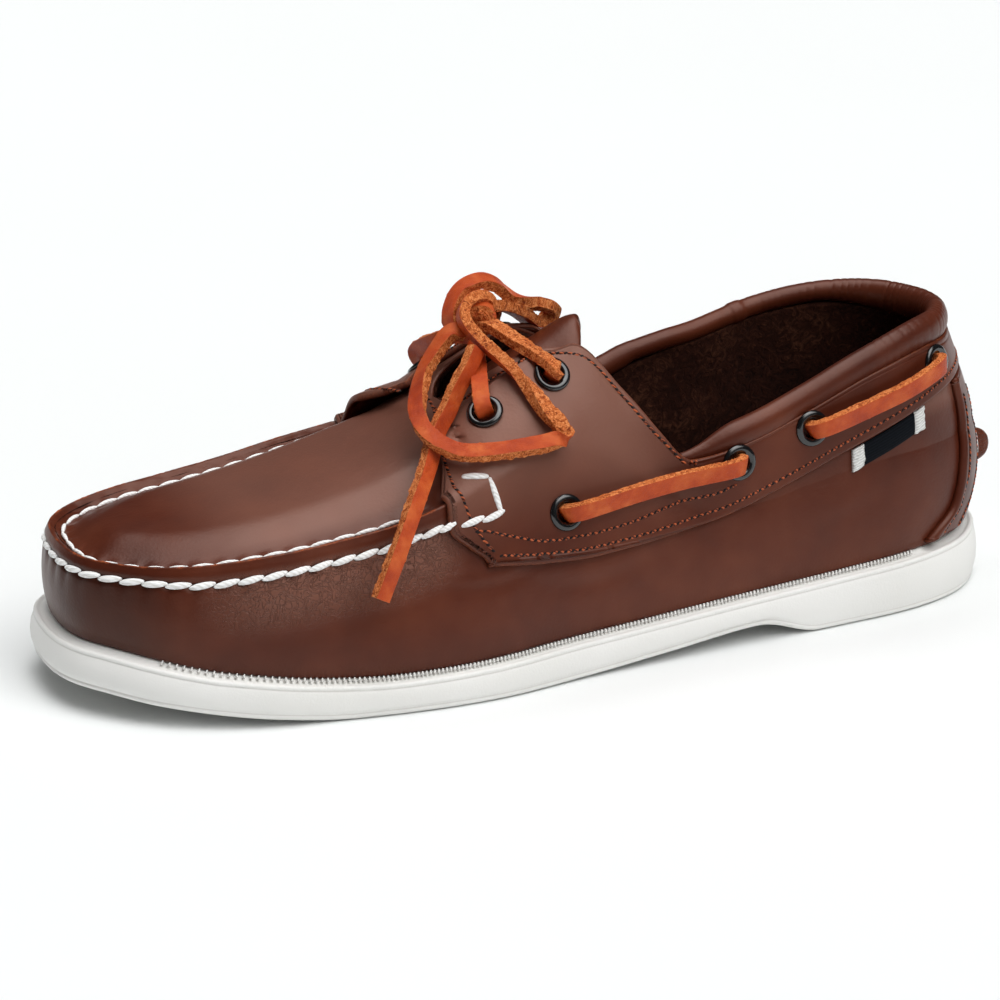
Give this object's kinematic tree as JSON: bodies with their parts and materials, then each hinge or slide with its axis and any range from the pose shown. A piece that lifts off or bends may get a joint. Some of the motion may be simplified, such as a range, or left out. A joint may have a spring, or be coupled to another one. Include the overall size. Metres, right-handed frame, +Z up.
{
  "type": "boat shoe",
  "caption": "Left moccasin boat shoe: brown leather upper with seamed apron, side saddle, padded collar, leather lace tied in a bow and a pale rubber sole with a low heel.",
  "frame": {"origin": "floor under the middle of the shoe's length and width, without the loose lace", "axes": "+X along the shoe towards the heel, toe at -X; +Y towards the inner side of the foot; +Z up"},
  "size_m": [0.3, 0.11, 0.1123],
  "materials": {
    "rubber_sole": "matte white moulded rubber",
    "leather_upper": "waxed brown leather, soft sheen",
    "leather_lace": "orange-brown raw-edged leather",
    "suede_lining": "dark brown suede",
    "webbing": "woven navy tape",
    "enamelled_metal": "glossy black enamel"
  },
  "bodies": {
    "root": {"outsole": "rubber_sole", "insole": "suede_lining", "upper": "leather_upper", "saddle": "leather_upper", "heel_stay": "leather_upper", "collar_roll": "leather_upper", "tongue": "leather_upper", "heel_tag": "webbing", "eyelet_outer_1": "enamelled_metal", "eyelet_outer_2": "enamelled_metal", "eyelet_outer_3": "enamelled_metal", "eyelet_outer_4": "enamelled_metal", "eyelet_outer_5": "enamelled_metal", "eyelet_outer_6": "enamelled_metal", "eyelet_inner_1": "enamelled_metal", "eyelet_inner_2": "enamelled_metal", "eyelet_inner_3": "enamelled_metal", "eyelet_inner_4": "enamelled_metal", "eyelet_inner_5": "enamelled_metal", "eyelet_inner_6": "enamelled_metal", "lace_outer_front": "leather_lace", "lace_outer_back": "leather_lace", "lace_inner_front": "leather_lace", "lace_inner_back": "leather_lace", "lace_crossings": "leather_lace", "lace_knot": "leather_lace", "lace_loop_near": "leather_lace", "lace_loop_far": "leather_lace", "lace_end": "leather_lace"}
  },
  "joints": []
}
